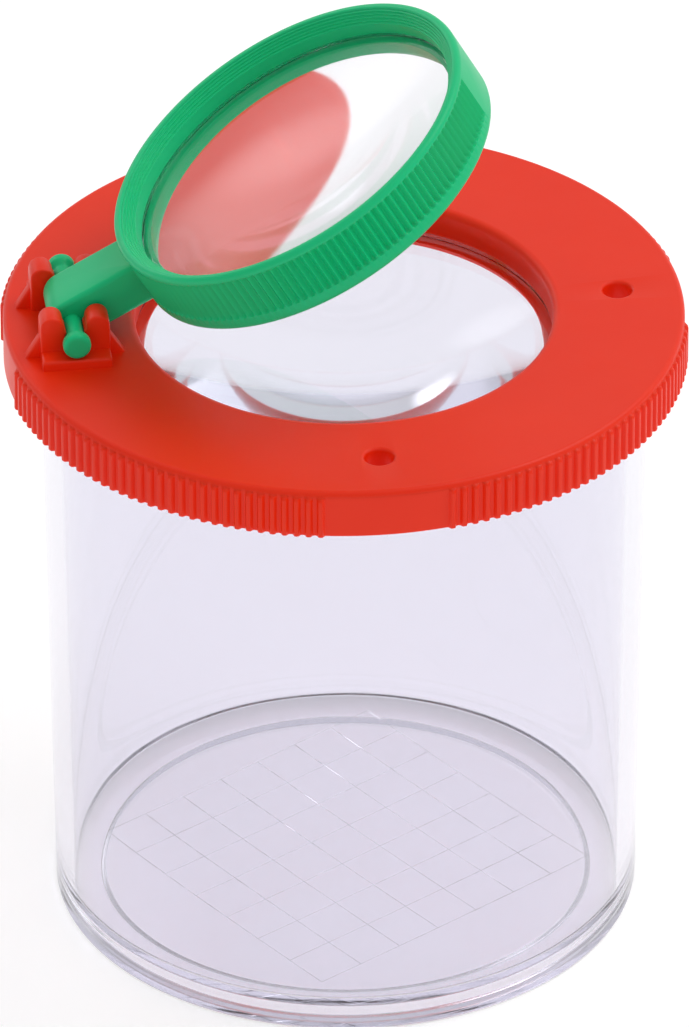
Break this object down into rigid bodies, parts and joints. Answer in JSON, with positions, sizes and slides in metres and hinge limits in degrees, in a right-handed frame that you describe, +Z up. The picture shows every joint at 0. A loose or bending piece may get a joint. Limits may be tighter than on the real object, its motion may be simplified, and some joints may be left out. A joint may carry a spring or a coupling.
{
  "type": "bug catcher jar",
  "caption": "Clear round jar with a push-on ribbed lid that has a lens in its window and air holes, and a ribbed magnifier that swings up on a pin on the lid.",
  "frame": {"origin": "centre of the jar's foot ring, on the surface that the jar stands on", "axes": "+Z up along the jar's axis; -X towards the magnifier's hinge, whose pin lies along Y"},
  "size_m": [0.0682, 0.0682, 0.0969],
  "materials": {
    "clear_jar": "clear moulded polystyrene, polished",
    "clear_lens": "clear moulded acrylic, optical polish",
    "red_lid": "satin moulded polypropylene",
    "green_frame": "satin moulded polypropylene"
  },
  "bodies": {
    "jar": {"jar": "clear_jar"},
    "lid": {"lid": "red_lid", "lid_lens": "clear_lens"},
    "magnifier": {"magnifier_frame": "green_frame", "magnifier_lens": "clear_lens"}
  },
  "joints": [
    {"name": "lid_lift", "type": "slide", "parent": "jar", "child": "lid", "axis": [0, 0, 1], "range_m": [0, 0.04]},
    {"name": "magnifier_hinge", "type": "hinge", "parent": "lid", "child": "magnifier", "pos_m": [-0.0276, 0, 0.0698], "axis": [0, -1, 0], "range_deg": [-29.4, 150.6]}
  ]
}
